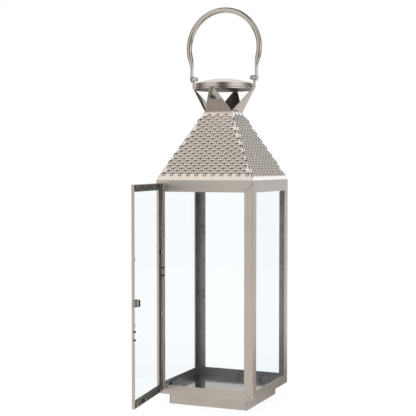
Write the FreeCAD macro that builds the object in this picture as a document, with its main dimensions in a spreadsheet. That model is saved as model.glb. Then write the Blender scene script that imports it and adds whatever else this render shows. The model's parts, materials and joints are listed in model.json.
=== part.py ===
import FreeCAD, Part

import math
import operator
import os
from types import SimpleNamespace

import Sketcher

# A square metal and glass candle lantern with a studded pyramid roof, a round cap held up by
# four blades, a bail handle and a glazed front door.
# Millimetres, +Z up. The origin is the middle of the underside; the door is on the -Y side.

Vector = FreeCAD.Vector
Z_AXIS = Vector(0, 0, 1)

os.makedirs("parts", exist_ok=True)
doc = FreeCAD.newDocument("candle_lantern")

# ---------------------------------------------------------------------------------------------
# Driving dimensions, in millimetres and degrees
# ---------------------------------------------------------------------------------------------

DRIVING = {
    # body
    "body_width": 180,
    "body_top": 394,
    "stile_width": 16,
    "rail_height": 16,
    "skirt_height": 20.5,
    "frame_gauge": 1.5,
    "floor_gauge": 2,
    # plinth
    "plinth_width": 146,
    "plinth_height": 20,
    # side panes
    "glass_gauge": 2,
    "pane_width": 168,
    "pane_top": 388,
    "pane_gap": 0.3,
    "clip_gauge": 0.8,
    "clip_length": 38,
    "clip_offset": 18,
    "clip_rise": 8,
    "clip_slack": 0.1,
    # roof
    "roof_top": 511,
    "roof_top_width": 54.6,
    "roof_gauge": 1.2,
    "stud_pitch": 15.6,
    "stud_row_step": 4.85,
    "stud_width": 8.9,
    "stud_rise": 2.3,
    "stud_first_row": 10.8,
    "stud_margin": 2.5,
    "stud_foot_sink": 0.3,
    "collar_width": 54,
    "collar_hole": 44,
    "collar_height": 2.5,
    # blades between the roof and the cap
    "blade_base_width": 52,
    "blade_tip_width": 7,
    "blade_gauge": 1.2,
    "blade_foot_reach": 25.2,
    "blade_tip_reach": 57.2,
    "blade_end_gap": 0.45,
    # cap
    "cap_bottom": 553,
    "cap_radius": 53.5,
    "cap_lip_radius": 54.3,
    "cap_lip_height": 2.5,
    "cap_band_height": 10.6,
    "cap_gauge": 1.2,
    "cap_crown_rise": 9,
    # handle and its pivots
    "pivot_height": 573.5,
    "bracket_reach": 57,
    "bracket_gauge": 1.8,
    "bracket_width": 9,
    "spacer_diameter": 5,
    "spacer_rise": 6.36,
    "bolt_diameter": 4.8,
    "bolt_head_diameter": 8.4,
    "bolt_head_height": 2.6,
    "nut_across_flats": 8,
    "nut_height": 4.2,
    "nut_crown_height": 3.3,
    "nut_crown_diameter": 7.36,
    "nut_bore_depth": 5.025,
    "washer_diameter": 10,
    "washer_gauge": 1.2,
    "tab_play": 0.4,
    "pin_play": 0.06,
    "tab_gauge": 2.5,
    "tab_width": 11.6,
    "tab_top": 596,
    "bail_radius": 67,
    "bail_centre_height": 627.3,
    "bail_tube_diameter": 9.8,
    "bail_end_height": 602,
    # door, measured with the door shut
    "door_left_reach": 73.2,
    "door_right_reach": 77,
    "door_bottom": 27,
    "door_top": 388.5,
    "door_gap": 2.2,
    "door_depth": 5,
    "door_flange": 12,
    "door_gauge": 1.2,
    "door_glass_clearance": 1.2,
    "door_tab_reach": 5,
    "door_tab_width": 6.5,
    "door_tab_lower": 162,
    "door_tab_upper": 269,
    "door_tab_middle_offset": 19.25,
    "door_tab_outer_offset": 61.6,
    "door_open_angle": 82.3,
    # hinges
    "hinge_axis_left": 75.2,
    "hinge_axis_front": 92.3,
    "hinge_length": 19.5,
    "hinge_upper_height": 306,
    "hinge_lower_height": 91.5,
    "knuckle_diameter": 2.4,
    "knuckle_length": 5,
    "knuckle_gap": 0.25,
    "hinge_pin_diameter": 1.2,
    "hinge_pin_play": 0.05,
    "leaf_gauge": 0.8,
    "door_leaf_gauge": 0.5,
    "body_leaf_width": 9.3,
    "rivet_diameter": 1.4,
    "rivet_head_diameter": 2.6,
    "rivet_head_height": 0.7,
    "rivet_spread": 6,
    "rivet_offset": 5.58,
    # catch and bumpers
    "catch_height": 198,
    "catch_length": 13,
    "catch_gauge": 0.8,
    "catch_tongue_left": 71.4,
    "catch_tongue_back": 86.6,
    "roller_diameter": 2.4,
    "roller_length": 11,
    "bumper_diameter": 3,
    "bumper_length": 4.2,
    "bumper_spacing": 13.5,
    "bumper_proud": 1.8,
    "hinge_bumper_height": 235,
    "latch_bumper_height": 145.5,
}

OPERATIONS = {
    "+": operator.add,
    "-": operator.sub,
    "*": operator.mul,
    "/": operator.truediv,
}


class Size:
    """A number together with the spreadsheet expression that gives it."""

    def __init__(self, value, text):
        self.value = float(value)
        self.text = text

    def join(self, sign, other, swap=False):
        other = other if isinstance(other, Size) else Size(other, repr(other))
        left, right = (other, self) if swap else (self, other)
        value = OPERATIONS[sign](left.value, right.value)
        return Size(value, f"({left.text} {sign} {right.text})")

    def __add__(self, other):
        return self.join("+", other)

    def __radd__(self, other):
        return self.join("+", other, swap=True)

    def __sub__(self, other):
        return self.join("-", other)

    def __rsub__(self, other):
        return self.join("-", other, swap=True)

    def __mul__(self, other):
        return self.join("*", other)

    def __rmul__(self, other):
        return self.join("*", other, swap=True)

    def __truediv__(self, other):
        return self.join("/", other)

    def __neg__(self):
        return self.join("*", -1)


sheet = doc.addObject("Spreadsheet::Sheet", "sizes")
for row, (alias, number) in enumerate(DRIVING.items(), start=1):
    sheet.set(f"A{row}", alias)
    sheet.set(f"B{row}", str(number))
    sheet.setAlias(f"B{row}", alias)
doc.recompute()

dim = SimpleNamespace(**{name: Size(sheet.get(name), f"sizes.{name}") for name in DRIVING})

half = dim.body_width / 2
inner = half - dim.frame_gauge
opening = half - dim.stile_width
rail_top = dim.plinth_height + dim.rail_height
skirt_bottom = dim.body_top - dim.skirt_height
floor_top = dim.plinth_height + dim.floor_gauge

door_back = half + dim.door_gap
door_front = door_back + dim.door_depth
door_sheet_back = door_front - dim.door_gauge
bracket_outer = dim.bracket_reach + dim.bracket_gauge
washer_outer = bracket_outer + dim.washer_gauge
tab_inner = washer_outer + dim.tab_play
tab_outer = tab_inner + dim.tab_gauge
cap_band_top = dim.cap_bottom + dim.cap_band_height
cap_lip_top = dim.cap_bottom + dim.cap_lip_height

subparts = []


# ---------------------------------------------------------------------------------------------
# Helpers
# ---------------------------------------------------------------------------------------------


def keep(part, label):
    """Counts an object as a finished sub-part, under its own label."""
    part.Label = label
    subparts.append(part)
    return part


def number(value):
    return value.value if isinstance(value, Size) else float(value)


def bind(part, target, value):
    """Sets a property from a Size, bound to the sheet, or from a plain number."""
    if isinstance(value, Size):
        part.setExpression(target, value.text)
    else:
        setattr(part, target, value)


def new_sketch(body, name, role, offset=None):
    """A sketch on one of the body's origin planes, moved along the plane's normal by offset."""
    sketch = body.newObject("Sketcher::SketchObject", name)
    plane = next(item for item in body.Origin.OriginFeatures if item.Role == role)
    sketch.AttachmentSupport = [(plane, "")]
    sketch.MapMode = "FlatFace"
    if offset is not None:
        sketch.setExpression(".AttachmentOffset.Base.z", offset.text)
    return sketch


def pin_point(sketch, geometry, position, point):
    """Ties one sketch point to the sheet by its two distances from the origin."""
    for kind, axis, coordinate in zip(("DistanceX", "DistanceY"), (-2, -1), point):
        if number(coordinate) == 0:
            sketch.addConstraint(Sketcher.Constraint("PointOnObject", geometry, position, axis))
            continue
        index = sketch.addConstraint(
            Sketcher.Constraint(kind, -1, 1, geometry, position, number(coordinate))
        )
        if isinstance(coordinate, Size):
            sketch.setExpression(f"Constraints[{index}]", coordinate.text)


def draw_outline(sketch, corners):
    """A closed outline of straight lines, each corner bound to the sheet."""
    count = len(corners)
    points = [Vector(number(x), number(y), 0) for x, y in corners]
    for index in range(count):
        sketch.addGeometry(Part.LineSegment(points[index], points[(index + 1) % count]), False)
    for index in range(count):
        following = (index + 1) % count
        sketch.addConstraint(Sketcher.Constraint("Coincident", index, 2, following, 1))
    for index, corner in enumerate(corners):
        pin_point(sketch, index, 1, corner)


def add_pad(body, name, role, corners, offset, length, reverse=False):
    """Pads an outline drawn on a plane at offset along that plane's normal."""
    sketch = new_sketch(body, f"{name}_sketch", role, offset)
    draw_outline(sketch, corners)
    pad = body.newObject("PartDesign::Pad", f"{name}_pad")
    pad.Profile = sketch
    bind(pad, "Length", length)
    pad.Reversed = reverse
    return pad


def add_holes(body, name, role, centres, diameter):
    """Cuts round holes right through the body, along the plane's normal."""
    sketch = new_sketch(body, f"{name}_sketch", role)
    for index, centre in enumerate(centres):
        middle = Vector(number(centre[0]), number(centre[1]), 0)
        sketch.addGeometry(Part.Circle(middle, Z_AXIS, number(diameter) / 2), False)
        pin_point(sketch, index, 3, centre)
        size = sketch.addConstraint(Sketcher.Constraint("Diameter", index, number(diameter)))
        sketch.setExpression(f"Constraints[{size}]", diameter.text)
    doc.recompute()
    before = body.Shape.Volume
    pocket = body.newObject("PartDesign::Pocket", f"{name}_pocket")
    pocket.Profile = sketch
    pocket.Type = 1
    pocket.Midplane = True
    doc.recompute()
    if body.Shape.Volume >= before:
        raise RuntimeError(f"the holes of {body.Name} cut nothing")


def rectangle(left, right, bottom, top):
    return [(left, bottom), (right, bottom), (right, top), (left, top)]


def plate_body(label, role, corners, offset, gauge, reverse=False):
    """A flat sheet-metal piece or pane."""
    body = doc.addObject("PartDesign::Body", f"{label}_body")
    add_pad(body, label, role, corners, offset, gauge, reverse)
    return keep(body, label)


def turn(part, heading):
    """Turns a piece made at the front to another side of the lantern."""
    part.Placement = FreeCAD.Placement(Vector(), FreeCAD.Rotation(Z_AXIS, heading))


def primitive(kind, name, place=(0, 0, 0), **sizes):
    """A Part primitive whose sizes and place, where it isn't 0, are bound to the sheet."""
    solid = doc.addObject(f"Part::{kind}", name)
    for target, value in sizes.items():
        bind(solid, target, value)
    for axis, coordinate in zip("xyz", place):
        if isinstance(coordinate, Size):
            solid.setExpression(f".Placement.Base.{axis}", coordinate.text)
    return solid


def cut(name, base, tool):
    result = doc.addObject("Part::Cut", name)
    result.Base = base
    result.Tool = tool
    return result


def feature(label, shape):
    """A sub-part whose shape is worked out in code from the sheet's sizes."""
    part = doc.addObject("Part::Feature", f"{label}_feature")
    part.Shape = shape
    return keep(part, label)


def block(left, right, front, back, bottom, top):
    """A plain block between pairs of planes."""
    spans = [(number(a), number(b)) for a, b in ((left, right), (front, back), (bottom, top))]
    low = Vector(*[min(span) for span in spans])
    return Part.makeBox(*[abs(b - a) for a, b in spans], low)


# ---------------------------------------------------------------------------------------------
# Plinth and floor
# ---------------------------------------------------------------------------------------------


def make_plinth():
    """A folded tray, closed underneath, that the body stands on."""
    outside = dim.plinth_width / 2
    inside = outside - dim.frame_gauge
    outer = primitive(
        "Box", "plinth_outside", (-outside, -outside, 0),
        Length=dim.plinth_width, Width=dim.plinth_width, Height=dim.plinth_height,
    )
    hollow = primitive(
        "Box", "plinth_inside", (-inside, -inside, dim.frame_gauge),
        Length=inside * 2, Width=inside * 2, Height=dim.plinth_height,
    )
    keep(cut("plinth_tray", outer, hollow), "base_plinth")


def make_floor():
    floor = primitive(
        "Box", "floor_box", (-inner, -inner, dim.plinth_height),
        Length=inner * 2, Width=inner * 2, Height=dim.floor_gauge,
    )
    keep(floor, "floor_plate")


# ---------------------------------------------------------------------------------------------
# Body frame: angle posts, bottom rails and top rails
# ---------------------------------------------------------------------------------------------


def make_corner_post(label, side, facing):
    """An angle post. A front post's leg is mitred into the front rails, a back one is square.

    side is -1 for the left and 1 for the right, facing is -1 for the front and 1 for the back.
    """
    edge, shoulder = side * half, side * opening
    body = doc.addObject("PartDesign::Body", f"{label}_body")
    if facing < 0:
        leg = [
            (shoulder, rail_top),
            (edge, dim.plinth_height),
            (edge, skirt_bottom + dim.stile_width),
            (shoulder, skirt_bottom),
        ]
    else:
        leg = rectangle(shoulder, edge, dim.plinth_height, dim.body_top)
    add_pad(body, f"{label}_leg", "XZ_Plane", leg, -facing * half, dim.frame_gauge, facing < 0)
    return_leg = rectangle(facing * opening, facing * inner, dim.plinth_height, dim.body_top)
    add_pad(
        body, f"{label}_return", "YZ_Plane", return_leg, side * half, dim.frame_gauge, side > 0
    )
    if side < 0 and facing < 0:
        centres = [(-hinge_rivet_reach, height) for height in hinge_rivet_heights()]
        add_holes(body, f"{label}_rivet_holes", "XZ_Plane", centres, rivet_hole)
    keep(body, label)


def make_front_rails():
    bottom = [
        (-half, dim.plinth_height),
        (half, dim.plinth_height),
        (opening, rail_top),
        (-opening, rail_top),
    ]
    plate_body("bottom_rail_front", "XZ_Plane", bottom, half, dim.frame_gauge, True)
    mitre_top = skirt_bottom + dim.stile_width
    top = [
        (-opening, skirt_bottom),
        (opening, skirt_bottom),
        (half, mitre_top),
        (half, dim.body_top),
        (-half, dim.body_top),
        (-half, mitre_top),
    ]
    plate_body("top_rail_front", "XZ_Plane", top, half, dim.frame_gauge, True)


def make_side_rails():
    """The other three sides' rails butt between the posts."""
    for side, heading in (("right", 90), ("back", 180), ("left", 270)):
        low = rectangle(-opening, opening, dim.plinth_height, rail_top)
        high = rectangle(-opening, opening, skirt_bottom, dim.body_top)
        for name, outline in (("bottom_rail", low), ("top_rail", high)):
            rail = plate_body(
                f"{name}_{side}", "XZ_Plane", outline, half, dim.frame_gauge, True
            )
            turn(rail, heading)


# ---------------------------------------------------------------------------------------------
# Fixed panes and the clips that hold them
# ---------------------------------------------------------------------------------------------


def make_panes():
    reach = inner - dim.pane_gap
    width = dim.pane_width / 2
    foot = floor_top + dim.pane_gap
    for side, heading in (("right", 90), ("back", 180), ("left", 270)):
        outline = rectangle(-width, width, foot, dim.pane_top)
        pane = plate_body(f"glass_{side}", "XZ_Plane", outline, reach, dim.glass_gauge, True)
        turn(pane, heading)


def make_pane_clips():
    """A bent strip on the floor and two bent tabs under the roof hold each pane."""
    gauge = dim.clip_gauge.value
    face = number(inner - dim.pane_gap - dim.glass_gauge - dim.clip_slack)
    rise = dim.clip_rise.value
    floor_level = floor_top.value
    tab_top = dim.pane_top.value + 2 * gauge
    tab_centre = number(dim.pane_width) / 3
    tab_half = rise / 2
    for side, heading, toward_front in (("right", 90, -1), ("back", 180, -1), ("left", 270, 1)):
        centre = toward_front * dim.clip_offset.value
        left, right = centre - dim.clip_length.value / 2, centre + dim.clip_length.value / 2
        upright = block(left, right, -face, gauge - face, floor_level, floor_level + rise)
        foot = block(left, right, -face, rise - face, floor_level, floor_level + gauge)
        solids = [upright.fuse(foot).removeSplitter()]
        for middle in (-tab_centre, tab_centre):
            ends = (middle - tab_half, middle + tab_half)
            arm = block(*ends, -inner, gauge - face, tab_top - gauge, tab_top)
            finger = block(*ends, -face, gauge - face, tab_top - rise, tab_top)
            solids.append(arm.fuse(finger).removeSplitter())
        clips = feature(f"glass_clips_{side}", Part.makeCompound(solids))
        turn(clips, heading)


# ---------------------------------------------------------------------------------------------
# Roof
# ---------------------------------------------------------------------------------------------


def roof_panel_shape():
    """The front panel: a trapezoid sheet with rows of round studs, all mitred at the hips."""
    eave, top = half.value, dim.roof_top_width.value / 2
    rise = number(dim.roof_top - dim.body_top)
    slant = math.hypot(eave - top, rise)
    tilt = math.atan2(eave - top, rise)
    inset = dim.roof_gauge.value / math.cos(tilt)

    def ring_section(reach, height):
        corners = [
            Vector(-reach, -reach, height),
            Vector(reach, -reach, height),
            Vector(0, 0, height),
        ]
        return Part.makePolygon(corners + corners[:1])

    low, high = dim.body_top.value, dim.roof_top.value
    outer = Part.makeLoft([ring_section(eave, low), ring_section(top, high)], True, True)
    inside = Part.makeLoft(
        [ring_section(eave - inset, low), ring_section(top - inset, high)], True, True
    )
    sheet_metal = outer.cut(inside)

    up_slope = Vector(0, math.sin(tilt), math.cos(tilt))
    outward = Vector(0, -math.cos(tilt), math.sin(tilt))
    radius = dim.stud_width.value / 2
    ball = (radius**2 + dim.stud_rise.value**2) / (2 * dim.stud_rise.value)
    depth = ball - dim.stud_rise.value
    root = math.degrees(math.asin((depth - dim.stud_foot_sink.value) / ball))
    studs = []
    distance = dim.stud_first_row.value
    row = 0
    while distance < slant - dim.stud_margin.value:
        room = eave - (eave - top) * distance / slant - dim.stud_margin.value
        shift = dim.stud_pitch.value / 2 if row % 2 else 0
        steps = int(room // dim.stud_pitch.value) + 1
        for step in range(-steps - 1, steps + 1):
            across = shift + step * dim.stud_pitch.value
            if abs(across) > room:
                continue
            centre = Vector(across, -eave, low) + up_slope * distance - outward * depth
            studs.append(Part.makeSphere(ball, centre, outward, root, 90, 360))
        distance += dim.stud_row_step.value
        row += 1
    reach = 2 * eave
    corners = [Vector(0, 0, low), Vector(-reach, -reach, low), Vector(reach, -reach, low)]
    quarter = Part.Face(Part.makePolygon(corners + corners[:1])).extrude(Vector(0, 0, rise))
    return sheet_metal.multiFuse(studs).common(quarter)


def make_roof():
    shape = roof_panel_shape()
    for side, heading in (("front", 0), ("right", 90), ("back", 180), ("left", 270)):
        turn(feature(f"roof_panel_{side}", shape.copy()), heading)


def make_collar():
    """The flat square ring that trims the open top of the roof."""
    outside, inside = dim.collar_width / 2, dim.collar_hole / 2
    plate = primitive(
        "Box", "collar_plate", (-outside, -outside, dim.roof_top),
        Length=dim.collar_width, Width=dim.collar_width, Height=dim.collar_height,
    )
    vent = primitive(
        "Box", "collar_vent", (-inside, -inside, dim.roof_top - dim.collar_height),
        Length=dim.collar_hole, Width=dim.collar_hole, Height=dim.collar_height * 3,
    )
    keep(cut("collar_ring", plate, vent), "roof_collar")


# ---------------------------------------------------------------------------------------------
# Blades and cap
# ---------------------------------------------------------------------------------------------


def make_blades():
    """Four triangular blades stand on the collar and lean out past the cap's lip."""
    foot_height = number(dim.roof_top + dim.collar_height + dim.blade_end_gap)
    foot_reach = dim.blade_foot_reach.value
    rise = number(cap_lip_top) - foot_height
    spread = dim.blade_tip_reach.value - foot_reach
    lean = math.atan2(spread, rise)
    length = math.hypot(spread, rise)
    base, tip = dim.blade_base_width / 2, dim.blade_tip_width / 2
    outline = [(-base, 0), (base, 0), (tip, length), (-tip, length)]
    for side, heading in (("front", 0), ("right", 90), ("back", 180), ("left", 270)):
        blade = plate_body(
            f"crown_blade_{side}", "XZ_Plane", outline, dim.blade_gauge / 2, dim.blade_gauge, True
        )
        tilt = FreeCAD.Rotation(Vector(1, 0, 0), math.degrees(lean))
        heading_turn = FreeCAD.Rotation(Z_AXIS, heading)
        foot = heading_turn.multVec(Vector(0, -foot_reach, foot_height))
        blade.Placement = FreeCAD.Placement(foot, heading_turn.multiply(tilt))


def make_cap():
    """A lipped band, a shallow domed top and a plate that closes it underneath."""
    bore = dim.cap_radius - dim.cap_gauge
    profile = [
        (bore, dim.cap_bottom),
        (dim.cap_lip_radius, dim.cap_bottom),
        (dim.cap_lip_radius, cap_lip_top),
        (dim.cap_radius, cap_lip_top + (dim.cap_lip_radius - dim.cap_radius)),
        (dim.cap_radius, cap_band_top),
        (bore, cap_band_top),
    ]
    band = doc.addObject("PartDesign::Body", "cap_band_body")
    sketch = new_sketch(band, "cap_band_sketch", "XZ_Plane")
    draw_outline(sketch, profile)
    ring = band.newObject("PartDesign::Revolution", "cap_band_ring")
    ring.Profile = sketch
    ring.ReferenceAxis = (sketch, ["V_Axis"])
    ring.Angle = 360
    keep(band, "cap_band")

    rise = dim.cap_crown_rise
    ball = (dim.cap_radius * dim.cap_radius + rise * rise) / (rise * 2)
    centre = (0, 0, cap_band_top + rise - ball)
    skins = []
    for name, radius in (("outside", ball), ("inside", ball - dim.cap_gauge)):
        skin = primitive("Sphere", f"cap_crown_{name}", centre, Radius=radius)
        skin.setExpression("Angle1", f"asin({(ball - rise).text} / {radius.text})")
        skins.append(skin)
    keep(cut("cap_crown", *skins), "cap_crown_top")

    plate = primitive(
        "Cylinder", "cap_plate", (0, 0, dim.cap_bottom + dim.cap_gauge / 2),
        Radius=bore, Height=dim.cap_gauge,
    )
    keep(plate, "cap_underplate")


# ---------------------------------------------------------------------------------------------
# Handle, its brackets and pivots
# ---------------------------------------------------------------------------------------------


def cross_rod(radius, start, end, height):
    """A rod along X between two places on the left or right side, at a height."""
    start, end = number(start), number(end)
    direction = Vector(math.copysign(1, end - start), 0, 0)
    return Part.makeCylinder(radius, abs(end - start), Vector(start, 0, number(height)), direction)


def make_brackets():
    """Upright straps at the cap's sides, round at the top, that carry the handle's pivots."""
    wide = dim.bracket_width / 2
    foot = cap_lip_top + dim.blade_end_gap
    for side, sign in (("left", -1), ("right", 1)):
        name = f"bracket_{side}"
        low_x = dim.bracket_reach if sign > 0 else -bracket_outer
        strap = primitive(
            "Box", f"{name}_strap", (low_x, -wide, foot),
            Length=dim.bracket_gauge, Width=dim.bracket_width, Height=dim.pivot_height - foot,
        )
        round_end = primitive(
            "Cylinder", f"{name}_round", (low_x, 0, dim.pivot_height),
            Radius=wide, Height=dim.bracket_gauge,
        )
        hole = primitive(
            "Cylinder", f"{name}_hole", (low_x - dim.bracket_gauge, 0, dim.pivot_height),
            Radius=dim.bolt_diameter / 2 + dim.pin_play, Height=dim.bracket_gauge * 3,
        )
        for rod in (round_end, hole):
            rod.setExpression(".Placement.Rotation.Axis.x", "0")
            rod.setExpression(".Placement.Rotation.Axis.y", "1")
            rod.setExpression(".Placement.Rotation.Axis.z", "0")
            rod.setExpression(".Placement.Rotation.Angle", "90")
        blank = doc.addObject("Part::Fuse", f"{name}_blank")
        blank.Base = strap
        blank.Tool = round_end
        keep(cut(f"{name}_strip", blank, hole), f"handle_bracket_{side}")


def both_sides(label, shape):
    """One node with a piece on the right and its mirror image on the left."""
    mirrored = shape.mirror(Vector(), Vector(1, 0, 0))
    return feature(label, Part.makeCompound([shape, mirrored]))


def make_fasteners():
    height = dim.pivot_height
    shank = dim.bolt_diameter.value / 2
    spacer_height = dim.cap_bottom + dim.spacer_rise
    both_sides(
        "bracket_spacers",
        cross_rod(dim.spacer_diameter.value / 2, dim.cap_radius, dim.bracket_reach, spacer_height),
    )

    head_foot = tab_outer + dim.tab_play
    head_radius = dim.bolt_head_diameter.value / 2
    head_rise = dim.bolt_head_height.value
    ball = (head_radius**2 + head_rise**2) / (2 * head_rise)
    head = Part.makeSphere(
        ball,
        Vector(head_foot.value + head_rise - ball, 0, height.value),
        Vector(1, 0, 0),
        math.degrees(math.asin((ball - head_rise) / ball)),
        90,
        360,
    )
    tip = dim.bracket_reach - dim.nut_bore_depth
    both_sides("handle_bolts", head.fuse(cross_rod(shank, head_foot, tip, height)))

    bore = shank + dim.pin_play.value
    washer = cross_rod(dim.washer_diameter.value / 2, bracket_outer, washer_outer, height)
    both_sides("handle_washers", washer.cut(cross_rod(bore, bracket_outer, washer_outer, height)))

    nut_face = number(dim.bracket_reach - dim.nut_height)
    corner = dim.nut_across_flats.value / math.sqrt(3)
    corners = [
        Vector(
            nut_face,
            corner * math.cos(math.radians(60 * k)),
            height.value + corner * math.sin(math.radians(60 * k)),
        )
        for k in range(7)
    ]
    hexagon = Part.Face(Part.makePolygon(corners)).extrude(Vector(dim.nut_height.value, 0, 0))
    crown_radius = dim.nut_crown_diameter.value / 2
    crown_rise = dim.nut_crown_height.value
    crown_ball = (crown_radius**2 + crown_rise**2) / (2 * crown_rise)
    crown = Part.makeSphere(
        crown_ball,
        Vector(nut_face - crown_rise + crown_ball, 0, height.value),
        Vector(-1, 0, 0),
        math.degrees(math.asin((crown_ball - crown_rise) / crown_ball)),
        90,
        360,
    )
    nut_bore = cross_rod(bore, dim.bracket_reach, tip - dim.pin_play, height)
    both_sides("handle_acorn_nuts", hexagon.fuse(crown).cut(nut_bore))


def make_bail():
    """A round bar bent to part of a circle, its ends pressed flat and drilled."""
    tube = dim.bail_tube_diameter.value / 2
    radius = dim.bail_radius.value
    centre = Vector(0, 0, dim.bail_centre_height.value)
    droop = math.asin(number(dim.bail_centre_height - dim.bail_end_height) / radius)

    def on_arc(angle):
        return centre + Vector(math.cos(angle), 0, math.sin(angle)) * radius

    start, end = on_arc(-droop), on_arc(math.pi + droop)
    path = Part.Wire(Part.Arc(start, on_arc(math.pi / 2), end).toShape())
    tangent = Vector(math.sin(droop), 0, math.cos(droop))
    section = Part.Wire(Part.Circle(start, tangent, tube).toShape())
    bar = path.makePipeShell([section], True, True)

    tab_middle = number(tab_inner + tab_outer) / 2
    wide, thick = dim.tab_width.value / 2, dim.tab_gauge.value / 2
    flat = Part.Ellipse(Vector(), wide, thick)
    flat_wire = Part.Wire(flat.toShape())
    quarter = FreeCAD.Rotation(Z_AXIS, 90)
    flat_wire.Placement = FreeCAD.Placement(
        Vector(tab_middle, 0, dim.tab_top.value - thick), quarter
    )
    round_wire = Part.Wire(Part.Circle(Vector(), Z_AXIS, tube).toShape())
    lean = FreeCAD.Rotation(Vector(0, 1, 0), math.degrees(droop))
    round_wire.Placement = FreeCAD.Placement(start, lean.multiply(quarter))
    neck = Part.makeLoft([flat_wire, round_wire], True, False)

    pivot = dim.pivot_height.value
    tab = block(tab_inner, tab_outer, -wide, wide, pivot, dim.tab_top)
    tab = tab.fuse(cross_rod(wide, tab_inner, tab_outer, pivot))
    bore = dim.bolt_diameter.value / 2 + dim.pin_play.value
    tab = tab.cut(cross_rod(bore, bracket_outer, tab_outer + dim.tab_gauge, pivot))
    end_piece = tab.fuse(neck)
    other_end = end_piece.mirror(Vector(), Vector(1, 0, 0))
    feature("bail_handle", bar.multiFuse([end_piece, other_end]))


# ---------------------------------------------------------------------------------------------
# Hinges
# ---------------------------------------------------------------------------------------------

hinge_heights = {"upper": dim.hinge_upper_height, "lower": dim.hinge_lower_height}
hinge_rivet_reach = dim.hinge_axis_left + dim.rivet_offset
rivet_hole = dim.rivet_diameter + dim.hinge_pin_play * 2
door_rivet_depth = door_front - dim.door_depth / 2


def hinge_rivet_heights():
    return [
        middle + sign * dim.rivet_spread for middle in hinge_heights.values() for sign in (-1, 1)
    ]


def knuckle(bottom, length):
    """A rolled knuckle on the hinge line, bored for the pin."""
    base = Vector(-dim.hinge_axis_left.value, -dim.hinge_axis_front.value, bottom)
    roll = Part.makeCylinder(dim.knuckle_diameter.value / 2, length, base)
    bore = number(dim.hinge_pin_diameter) / 2 + dim.hinge_pin_play.value
    return roll, Part.makeCylinder(bore, length, base)


def leaf_with_knuckles(plate, knuckle_spans, web):
    """Joins a leaf plate to its knuckles with the webs that reach them."""
    shape = plate
    bores = []
    for bottom, length in knuckle_spans:
        roll, bore = knuckle(bottom, length)
        arm = block(*web, bottom, bottom + length)
        shape = shape.fuse(roll).fuse(arm)
        bores.append(bore)
    for bore in bores:
        shape = shape.cut(bore)
    return shape.removeSplitter()


def rivet(centre, direction, grip):
    """A rivet with a low round head at each end of its grip."""
    shank_radius = dim.rivet_diameter.value / 2
    shape = Part.makeCylinder(shank_radius, grip, centre, direction)
    radius, rise = dim.rivet_head_diameter.value / 2, dim.rivet_head_height.value
    ball = (radius**2 + rise**2) / (2 * rise)
    root = math.degrees(math.asin((ball - rise) / ball))
    back = direction * -1
    for foot, way in ((centre + direction * grip, direction), (centre, back)):
        head_centre = foot + way * (rise - ball)
        shape = shape.fuse(Part.makeSphere(ball, head_centre, way, root, 90, 360))
    return shape


def rivet_holes(spots, direction, reach):
    """Straight drills for a set of rivets."""
    radius = rivet_hole.value / 2
    drills = [
        Part.makeCylinder(radius, 2 * reach, spot - direction * reach, direction)
        for spot in spots
    ]
    return Part.makeCompound(drills)


def make_hinges():
    axis_x, axis_y = -dim.hinge_axis_left, -dim.hinge_axis_front
    roll = dim.knuckle_diameter / 2
    gauge = dim.leaf_gauge
    body_web = (axis_x - roll, axis_x, axis_y, -half - gauge / 2)
    door_web = (axis_x, -dim.door_left_reach - dim.door_leaf_gauge / 2, axis_y - roll, axis_y)
    end, gap = dim.knuckle_length.value, dim.knuckle_gap.value
    length = dim.hinge_length.value
    forward, sideways = Vector(0, -1, 0), Vector(-1, 0, 0)
    pins, body_rivets, door_rivets = [], [], []

    for name, middle in hinge_heights.items():
        bottom, top = number(middle) - length / 2, number(middle) + length / 2
        heights = [number(middle) + sign * dim.rivet_spread.value for sign in (-1, 1)]

        body_plate = block(
            axis_x - dim.body_leaf_width, axis_x - roll / 2, -half - gauge, -half, bottom, top
        )
        body_leaf = leaf_with_knuckles(
            body_plate, [(bottom, end), (top - end, end)], body_web
        )
        spots = [Vector(-hinge_rivet_reach.value, -half.value, level) for level in heights]
        body_leaf = body_leaf.cut(rivet_holes(spots, forward, length / 2))
        feature(f"hinge_leaf_body_{name}", body_leaf)
        inside = Vector(0, dim.frame_gauge.value, 0)
        grip = number(dim.frame_gauge + gauge)
        body_rivets += [rivet(spot + inside, forward, grip) for spot in spots]

        outer_x = -dim.door_left_reach - dim.door_leaf_gauge
        door_plate = block(
            outer_x, -dim.door_left_reach, -door_sheet_back, axis_y, bottom, top
        )
        door_leaf = leaf_with_knuckles(
            door_plate, [(bottom + end + gap, length - 2 * end - 2 * gap)], door_web
        )
        spots = [Vector(-dim.door_left_reach.value, -door_rivet_depth.value, z) for z in heights]
        door_leaf = door_leaf.cut(rivet_holes(spots, sideways, length / 2))
        hang(feature(f"hinge_leaf_door_{name}", door_leaf))
        inside = Vector(dim.door_gauge.value, 0, 0)
        grip = number(dim.door_gauge + dim.door_leaf_gauge)
        door_rivets += [rivet(spot + inside, sideways, grip) for spot in spots]

        pin_base = Vector(axis_x.value, axis_y.value, bottom)
        pins.append(Part.makeCylinder(number(dim.hinge_pin_diameter) / 2, length, pin_base))

    feature("hinge_pins", Part.makeCompound(pins))
    feature("hinge_rivets_body", Part.makeCompound(body_rivets))
    hang(feature("hinge_rivets_door", Part.makeCompound(door_rivets)))


# ---------------------------------------------------------------------------------------------
# Door, modelled shut and then swung open about its hinge line
# ---------------------------------------------------------------------------------------------


def hang(part):
    """Swings a door piece open by the door's resting angle."""
    axis = Vector(-dim.hinge_axis_left.value, -dim.hinge_axis_front.value, 0)
    swing = FreeCAD.Rotation(Z_AXIS, -dim.door_open_angle.value)
    part.Placement = FreeCAD.Placement(Vector(), swing, axis)
    return part


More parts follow.
